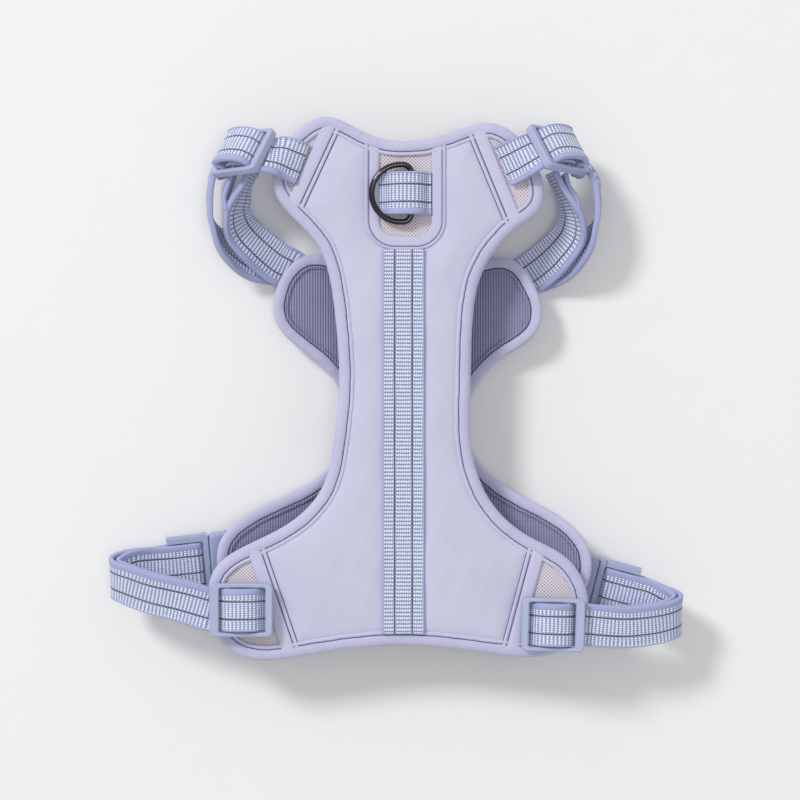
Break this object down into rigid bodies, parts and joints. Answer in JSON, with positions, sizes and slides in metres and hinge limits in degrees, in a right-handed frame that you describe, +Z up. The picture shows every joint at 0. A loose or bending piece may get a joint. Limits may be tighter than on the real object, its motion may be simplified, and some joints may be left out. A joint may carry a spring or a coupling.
{
  "type": "no pull dog harness",
  "caption": "Padded back and chest panels joined by adjustable webbing straps, with side-release buckles, tri-glide sliders, a grab loop and leash D-rings.",
  "frame": {"origin": "on the surface it lies on, under the middle of the harness", "axes": "+Z up, +Y towards the neck end, +X to the right seen from above"},
  "size_m": [0.3348, 0.3163, 0.0599],
  "materials": {
    "panel_fabric": "smooth soft-shell knit",
    "binding": "rolled knit binding",
    "foam": "thin padding foam",
    "window_mesh": "fine woven mesh",
    "lining": "ribbed air mesh",
    "webbing": "ribbed webbing with reflective threads",
    "plastic": "moulded, satin",
    "ring_metal": "black nickel"
  },
  "bodies": {
    "root": {"back_panel_shell": "panel_fabric", "chest_panel_shell": "panel_fabric", "back_hem_front_left": "panel_fabric", "back_hem_front_right": "panel_fabric", "back_hem_rear_left": "panel_fabric", "back_hem_rear_right": "panel_fabric", "back_window_trim": "panel_fabric", "back_panel_binding": "binding", "chest_panel_binding": "binding", "back_panel_foam": "foam", "chest_panel_foam": "foam", "back_panel_mesh": "window_mesh", "back_panel_lining": "lining", "chest_panel_lining": "lining", "back_webbing": "webbing", "chest_webbing": "webbing", "back_leash_loop": "webbing", "chest_ring_loop": "webbing", "left_girth_strap": "webbing", "right_girth_strap": "webbing", "left_shoulder_strap": "webbing", "right_shoulder_strap": "webbing", "left_shoulder_ring_tab": "webbing", "right_shoulder_ring_tab": "webbing", "left_buckle_tab": "webbing", "right_buckle_tab": "webbing", "left_buckle_socket": "plastic", "right_buckle_socket": "plastic"},
    "back_ring": {"back_d_ring": "ring_metal"},
    "chest_ring": {"chest_d_ring": "ring_metal"},
    "left_shoulder_loop": {"left_shoulder_ring": "ring_metal"},
    "left_girth_adjuster": {"left_girth_slider": "plastic"},
    "left_shoulder_adjuster": {"left_shoulder_slider": "plastic"},
    "left_plug": {"left_buckle_plug": "plastic"},
    "left_prong_rear": {"left_buckle_prong_rear": "plastic"},
    "left_prong_front": {"left_buckle_prong_front": "plastic"},
    "right_shoulder_loop": {"right_shoulder_ring": "ring_metal"},
    "right_girth_adjuster": {"right_girth_slider": "plastic"},
    "right_shoulder_adjuster": {"right_shoulder_slider": "plastic"},
    "right_plug": {"right_buckle_plug": "plastic"},
    "right_prong_rear": {"right_buckle_prong_rear": "plastic"},
    "right_prong_front": {"right_buckle_prong_front": "plastic"}
  },
  "joints": [
    {"name": "back_ring_swing", "type": "hinge", "parent": "root", "child": "back_ring", "pos_m": [0.0085, 0.113, 0.04695], "axis": [0, 1, 0], "range_deg": [0, 170]},
    {"name": "chest_ring_swing", "type": "hinge", "parent": "root", "child": "chest_ring", "pos_m": [0.0045, 0.0705, 0.0034], "axis": [1, 0, 0], "range_deg": [-80, 90]},
    {"name": "left_shoulder_loop_tilt", "type": "hinge", "parent": "root", "child": "left_shoulder_loop", "pos_m": [-0.05004, 0.06114, 0.004], "axis": [-0.5822, -0.8131, 0], "range_deg": [0, 22], "deforming": ["left_shoulder_strap"]},
    {"name": "left_girth_adjust", "type": "slide", "parent": "root", "child": "left_girth_adjuster", "axis": [-1, 0, 0], "range_m": [0, 0.02], "deforming": ["left_girth_strap"]},
    {"name": "left_shoulder_adjust", "type": "slide", "parent": "root", "child": "left_shoulder_adjuster", "axis": [-0.7504, -0.03, -0.6603], "range_m": [-0.006, 0.008], "deforming": ["left_shoulder_strap"]},
    {"name": "left_buckle_release", "type": "slide", "parent": "root", "child": "left_plug", "axis": [-0.982, -0.1002, 0.1603], "range_m": [0, 0.034], "deforming": ["left_girth_strap", "left_buckle_prong_front", "left_buckle_prong_rear"]},
    {"name": "left_prong_rear_squeeze", "type": "hinge", "parent": "left_plug", "child": "left_prong_rear", "pos_m": [-0.10969, -0.11289, 0.01177], "axis": [0.1733, -0.1379, 0.9752], "range_deg": [0, 9], "stiffness_Nm_per_rad": 0.4},
    {"name": "left_prong_front_squeeze", "type": "hinge", "parent": "left_plug", "child": "left_prong_front", "pos_m": [-0.11133, -0.09161, 0.01507], "axis": [0.1733, -0.1379, 0.9752], "range_deg": [-9, 0], "stiffness_Nm_per_rad": 0.4},
    {"name": "right_shoulder_loop_tilt", "type": "hinge", "parent": "root", "child": "right_shoulder_loop", "pos_m": [0.06275, 0.05758, 0.004], "axis": [-0.5408, 0.8412, 0], "range_deg": [0, 22], "deforming": ["right_shoulder_strap"]},
    {"name": "right_girth_adjust", "type": "slide", "parent": "root", "child": "right_girth_adjuster", "axis": [0.9996, -0.03, 0], "range_m": [0, 0.02], "deforming": ["right_girth_strap"]},
    {"name": "right_shoulder_adjust", "type": "slide", "parent": "root", "child": "right_shoulder_adjuster", "axis": [0.7008, -0.0601, -0.7108], "range_m": [-0.006, 0.008], "deforming": ["right_shoulder_strap"]},
    {"name": "right_buckle_release", "type": "slide", "parent": "root", "child": "right_plug", "axis": [0.9545, -0.2512, 0.1608], "range_m": [0, 0.034], "deforming": ["right_girth_strap", "right_buckle_prong_front", "right_buckle_prong_rear"]},
    {"name": "right_prong_rear_squeeze", "type": "hinge", "parent": "right_plug", "child": "right_prong_rear", "pos_m": [0.11981, -0.10587, 0.01489], "axis": [-0.1892, -0.0933, 0.9775], "range_deg": [0, 9], "stiffness_Nm_per_rad": 0.4},
    {"name": "right_prong_front_squeeze", "type": "hinge", "parent": "right_plug", "child": "right_prong_front", "pos_m": [0.11483, -0.12668, 0.01195], "axis": [-0.1892, -0.0933, 0.9775], "range_deg": [-9, 0], "stiffness_Nm_per_rad": 0.4}
  ],
  "couplings": [
    {"joint": "left_prong_front_squeeze", "follows": "left_prong_rear_squeeze", "ratio": -1},
    {"joint": "right_prong_front_squeeze", "follows": "right_prong_rear_squeeze", "ratio": -1}
  ]
}
